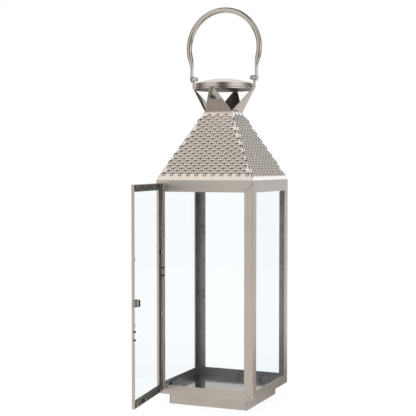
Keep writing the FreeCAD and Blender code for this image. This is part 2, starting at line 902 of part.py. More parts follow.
def make_door_member(label, face, edge_role, edge, edge_offset, reverse):
    """An angle-section member: a mitred face strip and an edge flange behind it."""
    body = doc.addObject("PartDesign::Body", f"{label}_body")
    add_pad(body, f"{label}_face", "XZ_Plane", face, door_front, dim.door_gauge, True)
    add_pad(body, f"{label}_edge", edge_role, edge, edge_offset, dim.door_gauge, reverse)
    keep(body, label)
    return body


def make_door_frame():
    left, right = -dim.door_left_reach, dim.door_right_reach
    bottom, top = dim.door_bottom, dim.door_top
    flange, gauge = dim.door_flange, dim.door_gauge
    near, far = -door_sheet_back, -door_back

    hinge_face = [
        (left, bottom), (left + flange, bottom + flange), (left + flange, top - flange), (left, top)
    ]
    upright = rectangle(near, far, bottom, top)
    stile = make_door_member("door_hinge_stile", hinge_face, "YZ_Plane", upright, left, False)
    centres = [(-door_rivet_depth, height) for height in hinge_rivet_heights()]
    add_holes(stile, "door_hinge_stile_rivet_holes", "YZ_Plane", centres, rivet_hole)
    hang(stile)

    latch_face = [
        (right, bottom), (right, top), (right - flange, top - flange),
        (right - flange, bottom + flange),
    ]
    hang(make_door_member("door_latch_stile", latch_face, "YZ_Plane", upright, right, True))

    lying = rectangle(left + gauge, right - gauge, near, far)
    bottom_face = [
        (left, bottom), (right, bottom), (right - flange, bottom + flange),
        (left + flange, bottom + flange),
    ]
    hang(make_door_member("door_bottom_rail", bottom_face, "XY_Plane", lying, bottom, False))
    top_face = [
        (left, top), (left + flange, top - flange), (right - flange, top - flange), (right, top)
    ]
    hang(make_door_member("door_top_rail", top_face, "XY_Plane", lying, top, True))


def make_door_glass():
    margin = dim.door_gauge + dim.door_glass_clearance
    outline = rectangle(
        margin - dim.door_left_reach,
        dim.door_right_reach - margin,
        dim.door_bottom + margin,
        dim.door_top - margin,
    )
    hang(plate_body("door_glass", "XZ_Plane", outline, door_sheet_back, dim.glass_gauge, True))


def make_door_glass_tabs():
    """Small tabs bent in from the edge flanges hold the door's pane from behind."""
    gauge = dim.clip_gauge.value
    reach, wide = dim.door_tab_reach.value, dim.door_tab_width.value / 2
    glass_back = number(door_sheet_back - dim.glass_gauge - dim.clip_slack)
    front, back = -glass_back, gauge - glass_back
    left = number(dim.door_gauge - dim.door_left_reach)
    right = number(dim.door_right_reach - dim.door_gauge)
    bottom = number(dim.door_bottom + dim.door_gauge)
    top = number(dim.door_top - dim.door_gauge)
    tabs = []
    for height in (dim.door_tab_lower.value, dim.door_tab_upper.value):
        span = (height - wide, height + wide)
        tabs.append(block(left, left + reach, front, back, *span))
        tabs.append(block(right, right - reach, front, back, *span))
    outer, middle = dim.door_tab_outer_offset.value, dim.door_tab_middle_offset.value
    for across in (-outer, middle, outer):
        span = (across - wide, across + wide)
        tabs.append(block(*span, front, back, bottom, bottom + reach))
        tabs.append(block(*span, front, back, top, top - reach))
    hang(feature("door_glass_tabs", Part.makeCompound(tabs)))


def make_catch():
    """A spring clip round the latch stile's edge whose tongue carries a small roller."""
    gauge = dim.catch_gauge
    right = dim.door_right_reach
    tongue = dim.catch_tongue_left
    back = -door_back
    outline = [
        (right, -door_sheet_back),
        (right + gauge, -door_sheet_back),
        (right + gauge, back + gauge),
        (tongue + gauge, back + gauge),
        (tongue + gauge, -dim.catch_tongue_back),
        (tongue, -dim.catch_tongue_back),
        (tongue, back),
        (right, back),
    ]
    foot = dim.catch_height - dim.catch_length / 2
    hang(plate_body("door_catch", "XY_Plane", outline, foot, dim.catch_length))

    radius = dim.roller_diameter / 2
    middle = Vector(
        number(tongue + gauge / 2),
        number(radius - dim.catch_tongue_back) + dim.hinge_pin_play.value,
        number(dim.catch_height - dim.roller_length / 2),
    )
    roller = Part.makeCylinder(radius.value, dim.roller_length.value, middle)
    hang(feature("catch_roller", roller))


def make_bumpers():
    """Soft studs pushed onto the back edges of the door's flanges, in two pairs."""
    gauge = dim.door_gauge.value
    rear = number(dim.bumper_proud - door_back)
    front = rear - dim.bumper_length.value
    studs = []
    for edge, middle in (
        (gauge / 2 - dim.door_left_reach.value, dim.hinge_bumper_height.value),
        (dim.door_right_reach.value - gauge / 2, dim.latch_bumper_height.value),
    ):
        for sign in (-1, 1):
            height = middle + sign * dim.bumper_spacing.value / 2
            stud = Part.makeCylinder(
                dim.bumper_diameter.value / 2,
                dim.bumper_length.value,
                Vector(edge, front, height),
                Vector(0, 1, 0),
            )
            slot = block(
                edge - gauge / 2, edge + gauge / 2, front, -door_back,
                height - dim.bumper_diameter, height + dim.bumper_diameter,
            )
            studs.append(stud.cut(slot))
    hang(feature("door_bumpers", Part.makeCompound(studs)))


# ---------------------------------------------------------------------------------------------
# Build, check and write
# ---------------------------------------------------------------------------------------------

make_plinth()
make_floor()
make_corner_post("post_front_left", -1, -1)
make_corner_post("post_front_right", 1, -1)
make_corner_post("post_back_left", -1, 1)
make_corner_post("post_back_right", 1, 1)
make_front_rails()
make_side_rails()
make_panes()
make_pane_clips()
make_roof()
make_collar()
make_blades()
make_cap()
make_brackets()
make_fasteners()
make_bail()
make_hinges()
make_door_frame()
make_door_glass()
make_door_glass_tabs()
make_catch()
make_bumpers()

doc.recompute()

for item in doc.Objects:
    faults = {"Invalid", "Error"} & set(item.State)
    if faults:
        raise RuntimeError(f"{item.Name} is {', '.join(sorted(faults))}")

for part in subparts:
    shape = part.Shape
    if shape.isNull() or not shape.isValid() or not shape.Solids:
        raise RuntimeError(f"{part.Label} has no valid solid")

for part in subparts:
    part.Shape.exportStep(f"parts/{part.Label}.step")
    box = part.Shape.BoundBox
    print(
        f"{part.Label}: {len(part.Shape.Solids)} solid(s), {part.Shape.Volume / 1000:.2f} cm3, "
        f"x {box.XMin:.1f} {box.XMax:.1f}, y {box.YMin:.1f} {box.YMax:.1f}, "
        f"z {box.ZMin:.1f} {box.ZMax:.1f}"
    )
print(f"{len(subparts)} sub-parts")
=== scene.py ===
import json
import math

import bmesh
import bpy
from mathutils import Matrix, Vector


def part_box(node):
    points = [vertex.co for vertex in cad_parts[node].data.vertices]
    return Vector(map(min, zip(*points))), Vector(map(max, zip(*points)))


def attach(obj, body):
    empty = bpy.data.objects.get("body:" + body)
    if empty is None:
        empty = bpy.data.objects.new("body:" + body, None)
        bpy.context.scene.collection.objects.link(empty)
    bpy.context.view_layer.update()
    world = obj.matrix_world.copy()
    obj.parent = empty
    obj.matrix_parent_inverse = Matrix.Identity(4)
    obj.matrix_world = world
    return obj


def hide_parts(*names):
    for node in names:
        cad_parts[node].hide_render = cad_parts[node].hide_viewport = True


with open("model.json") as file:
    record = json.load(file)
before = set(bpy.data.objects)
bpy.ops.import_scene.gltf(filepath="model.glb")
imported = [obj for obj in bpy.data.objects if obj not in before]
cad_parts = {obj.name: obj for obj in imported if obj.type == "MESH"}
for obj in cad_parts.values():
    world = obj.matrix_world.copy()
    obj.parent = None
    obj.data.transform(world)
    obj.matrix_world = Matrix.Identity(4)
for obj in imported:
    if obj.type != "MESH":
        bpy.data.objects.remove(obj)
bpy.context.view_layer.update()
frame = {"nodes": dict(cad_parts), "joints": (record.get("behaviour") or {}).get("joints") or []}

# A square candle lantern of warm brushed steel with clear panes, its front door open, a studded
# pyramid roof, a round cap on four leaning blades and an upright bail handle.
# Metres, +Z up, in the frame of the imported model.

NODES = frame["nodes"]
MM = 0.001


# ---------------------------------------------------------------------------------------------
# Node helpers
# ---------------------------------------------------------------------------------------------


class Tree:
    """A short way to write the node tree of a material or a world."""

    def __init__(self, name, world=False):
        store = bpy.data.worlds if world else bpy.data.materials
        self.owner = store.new(name)
        self.owner.use_nodes = True
        self.nodes = self.owner.node_tree.nodes
        self.links = self.owner.node_tree.links
        self.nodes.clear()
        self.output = self.nodes.new(f"ShaderNodeOutput{'World' if world else 'Material'}")

    def add(self, kind, inputs=None, **settings):
        node = self.nodes.new(kind)
        for key, value in settings.items():
            setattr(node, key, value)
        for key, value in (inputs or {}).items():
            self.feed(node, key, value)
        return node

    def feed(self, node, key, value):
        socket = node.inputs[key]
        if isinstance(value, bpy.types.NodeSocket):
            self.links.new(value, socket)
        else:
            socket.default_value = value

    def math(self, operation, first, second=0.0):
        node = self.add("ShaderNodeMath", {0: first, 1: second}, operation=operation)
        return node.outputs[0]

    def ramp(self, value, stops):
        node = self.add("ShaderNodeValToRGB", {"Fac": value})
        points = node.color_ramp.elements
        for place, colour in stops[len(points):]:
            points.new(place)
        for point, (place, colour) in zip(points, stops):
            point.position = place
            point.color = (*colour, 1)
        return node.outputs["Color"]

    def noise(self, vector, scale, detail=3.0, roughness=0.5):
        sizes = {"Vector": vector, "Scale": scale, "Detail": detail, "Roughness": roughness}
        return self.add("ShaderNodeTexNoise", sizes).outputs["Fac"]

    def remap(self, value, low, high):
        node = self.add("ShaderNodeMapRange", {"Value": value, "To Min": low, "To Max": high})
        return node.outputs["Result"]

    def share(self, value, low, high):
        """How far a value lies from low, at 0, to high, at 1."""
        inputs = {"Value": value, "From Min": low, "From Max": high}
        return self.add("ShaderNodeMapRange", inputs).outputs["Result"]

    def mix(self, factor, first, second, blend="MIX"):
        inputs = {"Factor": factor, "A": first, "B": second}
        node = self.add("ShaderNodeMix", inputs, data_type="RGBA", blend_type=blend)
        return node.outputs["Result"]

    def mix_shaders(self, factor, first, second):
        inputs = {"Fac": factor, 1: first.outputs[0], 2: second.outputs[0]}
        return self.add("ShaderNodeMixShader", inputs)

    def close(self, shader):
        """Joins the last shader to the output and returns the finished material or world."""
        self.links.new(shader.outputs[0], self.output.inputs["Surface"])
        return self.owner

    def stretched(self, scale):
        """Object coordinates, scaled by a different amount along each axis."""
        where = self.add("ShaderNodeTexCoord").outputs["Object"]
        return self.add("ShaderNodeMapping", {"Vector": where, "Scale": scale}).outputs["Vector"]

    def principled(self, colour, roughness, bump, metallic):
        """Ends the tree in one shader and returns the finished material."""
        sockets = {
            "Base Color": colour,
            "Metallic": metallic,
            "Roughness": roughness,
            "Normal": bump.outputs["Normal"],
        }
        return self.close(self.add("ShaderNodeBsdfPrincipled", sockets))


def grey(value):
    return (value, value, value)


# ---------------------------------------------------------------------------------------------
# Materials
# ---------------------------------------------------------------------------------------------

# How finely the grain repeats along x, y and z: drawn out along one axis, or even
ALONG_X = (4, 260, 260)
ALONG_Y = (260, 4, 260)
ALONG_Z = (260, 260, 4)
ALL_WAYS = (90, 90, 90)


def brushed_metal(name, tone, grain, roughness=0.36, streak=0.12, relief=0.1):
    """Brushed steel: fine streaks along the grain, soft cloudy wear and small handling marks."""
    tree = Tree(name)
    lines = tree.noise(tree.stretched(grain), 6.0, 4.0, 0.62)
    clouds = tree.noise(tree.stretched(grey(1)), 24.0, 3.0)
    marks = tree.noise(tree.stretched(grey(1)), 140.0, 5.0, 0.7)
    dark = tuple(channel * (1 - streak) for channel in tone)
    light = tuple(min(1, channel * (1 + streak * 0.6)) for channel in tone)
    blend = tree.math("ADD", tree.math("MULTIPLY", lines, 0.6), tree.math("MULTIPLY", clouds, 0.4))
    colour = tree.ramp(blend, [(0.25, dark), (0.5, tone), (0.78, light)])
    rough = tree.math(
        "ADD",
        tree.remap(lines, roughness * 0.8, roughness * 1.2),
        tree.remap(marks, -0.02, 0.04),
    )
    bump = tree.add("ShaderNodeBump", {"Height": lines, "Strength": relief, "Distance": 0.0001})
    return tree.principled(colour, rough, bump, 1.0)


def dull_inside(name, tone, speck, speck_share):
    """A dull mottled finish with flecks: the unpolished inner side of the sheet, grey and flecked
    with old adhesive; in a dark tone it is also the painted shadow of the front seams and the
    painted shade inside the door.
    """
    tree = Tree(name)
    mottle = tree.noise(tree.stretched(grey(1)), 160.0, 6.0, 0.75)
    drift = tree.noise(tree.stretched(grey(1)), 28.0, 3.0)
    dark = tuple(channel * 0.45 for channel in tone)
    blend = tree.math(
        "ADD", tree.math("MULTIPLY", mottle, 0.65), tree.math("MULTIPLY", drift, 0.35)
    )
    edge = 1 - speck_share
    colour = tree.ramp(blend, [(0.36, dark), (0.5, tone), (edge, tone), (edge + 0.03, speck)])
    bump = tree.add("ShaderNodeBump", {"Height": mottle, "Strength": 0.35, "Distance": 0.0003})
    return tree.principled(colour, tree.remap(mottle, 0.3, 0.5), bump, 0.75)


GLASS_INDEX = 1.3
GLASS_SHINE = 0.05


def clear_glass(name):
    """Thin clean glass: clear, faintly blue and only just reflecting."""
    tree = Tree(name)
    smudge = tree.noise(tree.stretched(grey(1)), 30.0, 4.0, 0.6)
    tint = tree.ramp(smudge, [(0.3, (0.975, 0.989, 1.0)), (0.7, (0.981, 0.992, 1.0))])
    clear = tree.add("ShaderNodeBsdfTransparent", {"Color": tint})
    gloss = tree.add(
        "ShaderNodeBsdfGlossy",
        {"Color": (0.9, 0.95, 1.0, 1), "Roughness": tree.remap(smudge, 0.01, 0.05)},
    )
    fresnel = tree.add("ShaderNodeFresnel", {"IOR": GLASS_INDEX})
    shine = tree.math("MULTIPLY", fresnel.outputs[0], GLASS_SHINE)
    return tree.close(tree.mix_shaders(shine, clear, gloss))


def black_rubber(name):
    """Matt black rubber with a fine moulded grain."""
    tree = Tree(name)
    grain = tree.noise(tree.stretched(grey(1)), 900.0, 3.0)
    bump = tree.add("ShaderNodeBump", {"Height": grain, "Strength": 0.3, "Distance": 0.0002})
    colour = tree.ramp(grain, [(0.3, grey(0.008)), (0.7, grey(0.022))])
    return tree.principled(colour, tree.remap(grain, 0.45, 0.65), bump, 0.0)


WARM = (0.66, 0.615, 0.565)

# Each steel: its tone and grain, then how rough, how streaked and how deeply grained it is
METALS = {
    "upright": brushed_metal("steel_upright_grain", WARM, ALONG_Z),
    "across": brushed_metal("steel_across_grain", WARM, ALONG_X),
    "deep": brushed_metal("steel_deep_grain", WARM, ALONG_Y),
    "floor": brushed_metal("steel_floor_sheet", (0.57, 0.55, 0.525), ALL_WAYS, 0.10, 0.2, 0.03),
    "roof": brushed_metal("steel_studded_sheet", (0.74, 0.69, 0.64), ALL_WAYS, 0.10, 0.08, 0.01),
    "blade": brushed_metal("steel_polished_blade", (0.58, 0.545, 0.51), ALL_WAYS, 0.04, 0.05, 0.0),
    "cap": brushed_metal("steel_spun_cap", WARM, ALL_WAYS, 0.14, 0.06, 0.02),
    "under": brushed_metal("steel_dull_underside", (0.17, 0.16, 0.15), ALL_WAYS, 0.45),
    "handle": brushed_metal("steel_satin_bar", (0.66, 0.62, 0.575), ALL_WAYS, 0.03, 0.05, 0.0),
    "clip": brushed_metal("steel_clip_strip", (0.32, 0.31, 0.30), ALL_WAYS, 0.3, 0.2, 0.05),
    "strip": brushed_metal("steel_bright_strip", (0.46, 0.43, 0.40), ALL_WAYS, 0.14, 0.08, 0.02),
    "bright": brushed_metal("steel_bright_plated", (0.78, 0.78, 0.78), ALL_WAYS, 0.08, 0.04, 0.01),
}
INSIDE = dull_inside("steel_inner_side", (0.33, 0.32, 0.31), (0.46, 0.45, 0.43), 0.34)
# Painted shadow in the mitre and fold grooves of the front.
SEAM = dull_inside("steel_seam_shadow", (0.06, 0.055, 0.05), (0.10, 0.095, 0.09), 0.4)
# The door's inner side is a darker copy of the inner-side finish: painted shade inside the door
# frame.
DOOR_INSIDE_PAINTED_SHADE = dull_inside("steel_door_inner_side_painted_shade", (0.19, 0.18, 0.17), (0.42, 0.41, 0.39), 0.42)
GLASS = clear_glass("clear_pane_glass")
RUBBER = black_rubber("black_soft_rubber")


def metal_for(node):
    """The finish of each model node, by the piece it is and the way its metal is brushed."""
    if node.startswith(("post_", "door_hinge", "door_latch")):
        return METALS["upright"]
    if node.startswith(("bottom_rail", "top_rail")):
        return METALS["across"] if node.endswith(("front", "back")) else METALS["deep"]
    if node in ("door_bottom_rail", "door_top_rail"):
        return METALS["deep"]
    if node == "base_plinth":
        return METALS["across"]
    if node == "floor_plate":
        return METALS["floor"]
    if node.startswith("roof_"):
        return METALS["roof"]
    if node.startswith("crown_blade"):
        return METALS["blade"]
    if node == "cap_underplate":
        return METALS["under"]
    if node.startswith("cap_"):
        return METALS["cap"]
    if node == "bail_handle":
        return METALS["handle"]
    if node.startswith("glass_clips"):
        return METALS["clip"]
    if node.startswith(("handle_bracket", "hinge_leaf", "door_catch", "door_glass_")):
        return METALS["strip"]
    return METALS["bright"]


# ---------------------------------------------------------------------------------------------
# The model's own pieces: finishes, dull inner sides and softened edges
# ---------------------------------------------------------------------------------------------

SHEET_EDGE = 2.5 * MM
LEAST_INWARD = 0.01
LEAST_INTO_DOOR = 0.005
FACES_BACK = 0.9
JOINTS = {joint["name"]: joint for joint in frame["joints"]}
HINGE_LINE = Vector(JOINTS["door_hinge"]["pos_m"])
SHUT = Matrix.Rotation(math.radians(JOINTS["door_hinge"]["range_deg"][1]), 3, "Z")


def is_wide(corners, normal):
    """True on a face of the sheet, False on the narrow edge where it was cut."""
    spans = [max(c[axis] for c in corners) - min(c[axis] for c in corners) for axis in range(3)]
    flat = max(range(3), key=lambda axis: abs(normal[axis]))
    return min(span for axis, span in enumerate(spans) if axis != flat) > SHEET_EDGE


def looks_inward(place, normal):
    """True where a body panel faces the lantern's upright middle line."""
    return normal.x * place.x + normal.y * place.y < -LEAST_INWARD * place.length


def looks_into_door(place, normal, middle):
    """True where a door member, as it is when shut, faces the chamber or the door's middle."""
    if normal.y > FACES_BACK:
        return True
    return normal.x * (place.x - middle.x) + normal.z * (place.z - middle.z) < -LEAST_INTO_DOOR


def door_middle():
    """The middle of the door as it is when shut, measured from the hinge line."""
    low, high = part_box("door_hinge_stile")
    far_low, far_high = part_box("door_latch_stile")
    near, far = (low + high) / 2, (far_low + far_high) / 2
    return SHUT @ ((near + far) / 2 - HINGE_LINE)


def dull_inner_faces(piece, material, on_door):
    """Puts the given finish on the faces of a sheet-metal piece that look inward: the dull inner
    side on the body, a darker painted shade on the door.
    """
    mesh = piece.data
    mesh.materials.append(material)
    index = len(mesh.materials) - 1
    turn = SHUT if on_door else Matrix.Identity(3)
    middle = door_middle()
    for face in mesh.polygons:
        corners = [turn @ mesh.vertices[corner].co for corner in face.vertices]
        normal = turn @ face.normal
        if not is_wide(corners, normal):
            continue
        if on_door:
            inward = looks_into_door(SHUT @ (face.center - HINGE_LINE), normal, middle)
        else:
            inward = looks_inward(face.center, normal)
        if inward:
            face.material_index = index


def soften(piece, width):
    """Rounds a piece's sharp edges a little, so that seams and corners catch the light."""
    weld = piece.modifiers.new("weld", "WELD")
    weld.merge_threshold = 0.01 * MM
    bevel = piece.modifiers.new("edge", "BEVEL")
    bevel.width = width
    bevel.segments = 2
    bevel.limit_method = "ANGLE"
    bevel.angle_limit = math.radians(40)


def dress_model():
    """Gives every node its finish; sheet pieces get dull inner sides, painted shade on the door's
    inner sides, and soft edges too.
    """
    for node, piece in NODES.items():
        if node in ("glass_left", "glass_right", "glass_back", "door_glass"):
            material = GLASS
        elif node in ("door_bumpers", "catch_roller"):
            material = RUBBER
        else:
            material = metal_for(node)
        for slot in piece.material_slots:
            slot.material = material
        if node.startswith(("post_", "bottom_rail", "top_rail")):
            dull_inner_faces(piece, INSIDE, False)
            soften(piece, 0.45 * MM)
        elif node.startswith("door_") and node.endswith(("stile", "rail")):
            # Painted shade: the door's inward faces get the darker copy of the inner-side finish.
            dull_inner_faces(piece, DOOR_INSIDE_PAINTED_SHADE, True)
            soften(piece, 0.3 * MM)
        elif node in ("base_plinth", "roof_collar") or node.startswith("crown_blade"):
            soften(piece, 0.35 * MM)


dress_model()


# ---------------------------------------------------------------------------------------------
# Helpers for new pieces
# ---------------------------------------------------------------------------------------------


def new_piece(name, form, material, body, nodes=()):
    """A finished mesh piece that rides on a body and stands for some model nodes."""
    mesh = bpy.data.meshes.new(name)
    form.to_mesh(mesh)
    form.free()
    mesh.materials.append(material)
    for face in mesh.polygons:
        face.use_smooth = True
    piece = bpy.data.objects.new(name, mesh)
    bpy.context.scene.collection.objects.link(piece)
    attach(piece, body)
    if nodes:
        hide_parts(*nodes)
    return piece


def join_rings(form, rings):
    """Skins a row of closed rings of points into one closed tube."""
    rows = [[form.verts.new(point) for point in ring] for ring in rings]
    count = len(rows[0])
    for before, after in zip(rows, rows[1:]):
        for k in range(count):
            follow = (k + 1) % count
            form.faces.new((before[k], before[follow], after[follow], after[k]))
    form.faces.new(rows[0])
    form.faces.new(rows[-1])
    bmesh.ops.recalc_face_normals(form, faces=form.faces)


# ---------------------------------------------------------------------------------------------
# Bail handle: one smooth bar, pressed flat at its ends
# ---------------------------------------------------------------------------------------------

TUBE_RADIUS = 4.9 * MM
TAB_HALF_WIDE = 5.8 * MM
TAB_HALF_THICK = 1.25 * MM
TAB_MIDDLE_X = 61.95 * MM
TAB_TOP = 590 * MM
NECK_TOP = 612 * MM
TAB_END_HALF_WIDE = 0.6 * MM
ROUND, SQUARE = 2, 5
SECTION_POINTS = 32
END_STEPS, TAB_STEPS, NECK_STEPS, ARC_STEPS = 8, 4, 12, 40
UPWARD = Vector((0, 0, 1))


def superellipse(half_wide, half_thick, square):
    """Points round a section that runs from an ellipse, at 2, to a soft-cornered bar, above it."""
    points = []
    for step in range(SECTION_POINTS):
        angle = 2 * math.pi * step / SECTION_POINTS
        c, s = math.cos(angle), math.sin(angle)
        points.append((
            math.copysign(abs(c) ** (2 / square), c) * half_thick,
            math.copysign(abs(s) ** (2 / square), s) * half_wide,
        ))
    return points


def smooth_step(value):
    value = min(1, max(0, value))
    return value * value * (3 - 2 * value)


def bail_stations(pivot, radius, centre):
    """Half the bar's middle line, upward: rounded end, flat tab, neck and a circle's arc."""
    droop = math.asin((centre - NECK_TOP) / radius)
    stations = []
    for step in range(END_STEPS + 1):
        fall = TAB_HALF_WIDE * math.cos(math.pi / 2 * step / END_STEPS)
        stations.append((Vector((TAB_MIDDLE_X, 0, pivot - fall)), UPWARD, "end"))
    for step in range(1, TAB_STEPS + 1):
        height = pivot + (TAB_TOP - pivot) * step / TAB_STEPS
        stations.append((Vector((TAB_MIDDLE_X, 0, height)), UPWARD, "tab"))

    base = Vector((TAB_MIDDLE_X, 0, TAB_TOP))
    start = Vector((radius * math.cos(droop), 0, NECK_TOP))
    slope = Vector((math.sin(droop), 0, math.cos(droop)))
    reach = (NECK_TOP - TAB_TOP) * 0.5
    first, second = base + Vector((0, 0, reach)), start - slope * reach
    for step in range(1, NECK_STEPS + 1):
        u = step / NECK_STEPS
        place = (
            base * (1 - u) ** 3 + first * 3 * u * (1 - u) ** 2
            + second * 3 * u * u * (1 - u) + start * u ** 3
        )
        stations.append((place, UPWARD.lerp(slope, u).normalized(), "neck"))

    for step in range(1, ARC_STEPS + 1):
        angle = -droop + (math.pi / 2 + droop) * step / ARC_STEPS
        place = Vector((radius * math.cos(angle), 0, centre + radius * math.sin(angle)))
        stations.append((place, Vector((-math.sin(angle), 0, math.cos(angle))), "bar"))
    return stations


def bail_section(place, part, pivot):
    """The bar's outline at one place: flat in the end and the tab, round along the arc."""
    if part == "end":
        wide = math.sqrt(max(0, TAB_HALF_WIDE ** 2 - (pivot - place.z) ** 2))
        return superellipse(max(wide, TAB_END_HALF_WIDE), TAB_HALF_THICK, SQUARE)
    if part == "tab":
        return superellipse(TAB_HALF_WIDE, TAB_HALF_THICK, SQUARE)
    u = 1.0 if part == "bar" else smooth_step((place.z - TAB_TOP) / (NECK_TOP - TAB_TOP))
    wide = TAB_HALF_WIDE + (TUBE_RADIUS - TAB_HALF_WIDE) * u
    thick = TAB_HALF_THICK + (TUBE_RADIUS - TAB_HALF_THICK) * u
    return superellipse(wide, thick, SQUARE - (SQUARE - ROUND) * u)


def make_bail():
    """One half of the bar from its stations, and the other half as its mirror image."""
    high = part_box("bail_handle")[1]
    pivot = Vector(JOINTS["handle_pivot"]["pos_m"]).z
    radius = high.x - TUBE_RADIUS
    centre = high.z - TUBE_RADIUS - radius
    half = []
    for place, along, part in bail_stations(pivot, radius, centre):
        out = Vector((along.z, 0, -along.x))
        section = bail_section(place, part, pivot)
        half.append([place + out * a + Vector((0, b, 0)) for a, b in section])
    other = [[Vector((-p.x, p.y, p.z)) for p in ring] for ring in half[-2::-1]]
    form = bmesh.new()
    join_rings(form, half + other)
    new_piece("bail_bar", form, METALS["handle"], "handle", ["bail_handle"])


# ---------------------------------------------------------------------------------------------
# Roof seams
# ---------------------------------------------------------------------------------------------


BEAD_HALF_WIDE = 0.75 * MM
BEAD_RISE = 0.8
BEAD_STEPS = 24
BEAD_POINTS = 10
EAVE_INSET, EAVE_RISE = 0.9 * MM, 0.8 * MM
COLLAR_INSET = 0.3 * MM


def bead_swell(u):
    """The bead's half width at a share of its length: a little less near both ends."""
    near_end = max(0, 2 * abs(u - 0.5) - 0.9) / 0.1
    return BEAD_HALF_WIDE * (1 - 0.35 * near_end)


def make_hip_seams():
    """A narrow folded bead covers the mitre between each pair of roof panels."""
    low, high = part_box("roof_panel_front")
    eave = high.x - EAVE_INSET
    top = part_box("roof_collar")[1].x - COLLAR_INSET
    for name, sx, sy in (
        ("front_right", 1, -1), ("back_right", 1, 1), ("back_left", -1, 1), ("front_left", -1, -1),
    ):
        foot = Vector((sx * eave, sy * eave, low.z + EAVE_RISE))
        head = Vector((sx * top, sy * top, high.z))
        along = (head - foot).normalized()
        side = along.cross(UPWARD).normalized()
        up = side.cross(along).normalized()
        rings = []
        for step in range(BEAD_STEPS + 1):
            u = step / BEAD_STEPS
            middle, swell = foot.lerp(head, u), bead_swell(u)
            ring = []
            for k in range(BEAD_POINTS):
                angle = 2 * math.pi * k / BEAD_POINTS
                across = side * swell * math.cos(angle)
                ring.append(middle + across + up * swell * BEAD_RISE * math.sin(angle))
            rings.append(ring)
        form = bmesh.new()
        join_rings(form, rings)
        new_piece(f"hip_seam_{name}", form, METALS["strip"], "lantern")


# ---------------------------------------------------------------------------------------------
# Corner posts with a real fold, and painted shadow lines at the seams between the front's pieces
# ---------------------------------------------------------------------------------------------

FOLD_RADIUS = 1.6 * MM
INNER_FOLD_RADIUS = 0.1 * MM
SHEET = 1.5 * MM
FOLD_STEPS = 8
SEAM_WIDTH = 0.55 * MM
SEAM_PROUD = 0.04 * MM
SEAM_SHORT = 0.6 * MM
TRAY_FOLD_INSET = 1.5 * MM


def fold_path(edge, shoulder, inset):
    """One skin of an angle in plan: along a leg, round the fold and along the other leg."""
    radius = max(FOLD_RADIUS - inset, INNER_FOLD_RADIUS)
    middle = edge - inset - radius
    path = [(shoulder, edge - inset)]
    for step in range(FOLD_STEPS + 1):
        angle = math.pi / 2 * (1 - step / FOLD_STEPS)
        path.append((middle + radius * math.cos(angle), middle + radius * math.sin(angle)))
    path.append((edge - inset, shoulder))
    return path


def make_post(name, side, facing):
    """An angle post whose outer corner is a fold; a front post's leg is mitred at both ends."""
    low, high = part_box(name)
    edge, width = high.x if side > 0 else -low.x, high.x - low.x
    shoulder = edge - width
    rail_low, rail_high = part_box("bottom_rail_front")
    skirt_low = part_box("top_rail_front")[0].z

    def span(across, depth):
        """The heights of the foot and the top of the post at one place in plan."""
        if facing > 0 or depth < edge - SHEET - 0.01 * MM:
            return low.z, high.z
        share = (across - shoulder) / width
        foot = rail_high.z - (rail_high.z - rail_low.z) * share
        return foot, skirt_low + width * share

    form = bmesh.new()
    columns = []
    for inset in (0, SHEET):
        skin = []
        for across, depth in fold_path(edge, shoulder, inset):
            foot, top = span(across, depth)
            place = (side * across, facing * depth)
            skin.append((form.verts.new((*place, foot)), form.verts.new((*place, top))))
        columns.append(skin)
    outer, inner = columns
    for skin, index in ((outer, 0), (inner, 1)):
        for a, b in zip(skin, skin[1:]):
            form.faces.new((a[0], b[0], b[1], a[1])).material_index = index
    for end in (0, 1):
        for a, b, c, d in zip(outer, outer[1:], inner[1:], inner):
            form.faces.new((a[end], b[end], c[end], d[end]))
    for k in (0, -1):
        form.faces.new((outer[k][0], outer[k][1], inner[k][1], inner[k][0]))
    bmesh.ops.recalc_face_normals(form, faces=form.faces)
    piece = new_piece(f"{name}_folded", form, METALS["upright"], "lantern", [name])
    piece.data.materials.append(INSIDE)
    piece.data.set_sharp_from_angle(angle=math.radians(30))


def thin_bar(form, start, end, width, proud):
    """A closed flat bar on the front face between two points of its middle line."""
    along = (end - start).normalized()
    side = along.cross(Vector((0, 1, 0))) * (width / 2)
    rise = Vector((0, -proud, 0))
    sunk = Vector((0, proud * 4, 0))
    corners = [start - side, start + side, end + side, end - side]
    face = [form.verts.new(corner + rise) for corner in corners]
    back = [form.verts.new(corner + sunk) for corner in corners]
    form.faces.new(face)
    form.faces.new(back)
    for k in range(4):
        follow = (k + 1) % 4
        form.faces.new((face[k], face[follow], back[follow], back[k]))


def make_front_seams():
    """Painted shadow: dark hairlines laid on the front where the front rails are mitred to the
    posts and the plinth is folded.
    """
    post_low, post_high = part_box("post_front_right")
    rail_low, rail_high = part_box("bottom_rail_front")
    skirt_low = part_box("top_rail_front")[0].z
    tray_low, tray_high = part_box("base_plinth")
    width = post_high.x - post_low.x
    form = bmesh.new()
    for side in (-1, 1):
        for at_shoulder, at_edge in ((rail_high.z, rail_low.z), (skirt_low, skirt_low + width)):
            inner_end = Vector((side * post_low.x, rail_low.y, at_shoulder))
            outer_end = Vector((side * (post_high.x - SEAM_SHORT), rail_low.y, at_edge))
            thin_bar(form, inner_end, outer_end, SEAM_WIDTH, SEAM_PROUD)
        fold = side * (tray_high.x - TRAY_FOLD_INSET)
        foot = Vector((fold, tray_low.y, tray_low.z + MM))
        head = Vector((fold, tray_low.y, tray_high.z - 0.2 * MM))
        thin_bar(form, foot, head, SEAM_WIDTH, SEAM_PROUD)
    bmesh.ops.recalc_face_normals(form, faces=form.faces)
    piece = new_piece("front_seams", form, SEAM, "lantern")
    for face in piece.data.polygons:
        face.use_smooth = False


make_bail()
make_hip_seams()
for post, side, facing in (
    ("post_front_left", -1, -1), ("post_front_right", 1, -1),
    ("post_back_left", -1, 1), ("post_back_right", 1, 1),
):
    make_post(post, side, facing)
make_front_seams()


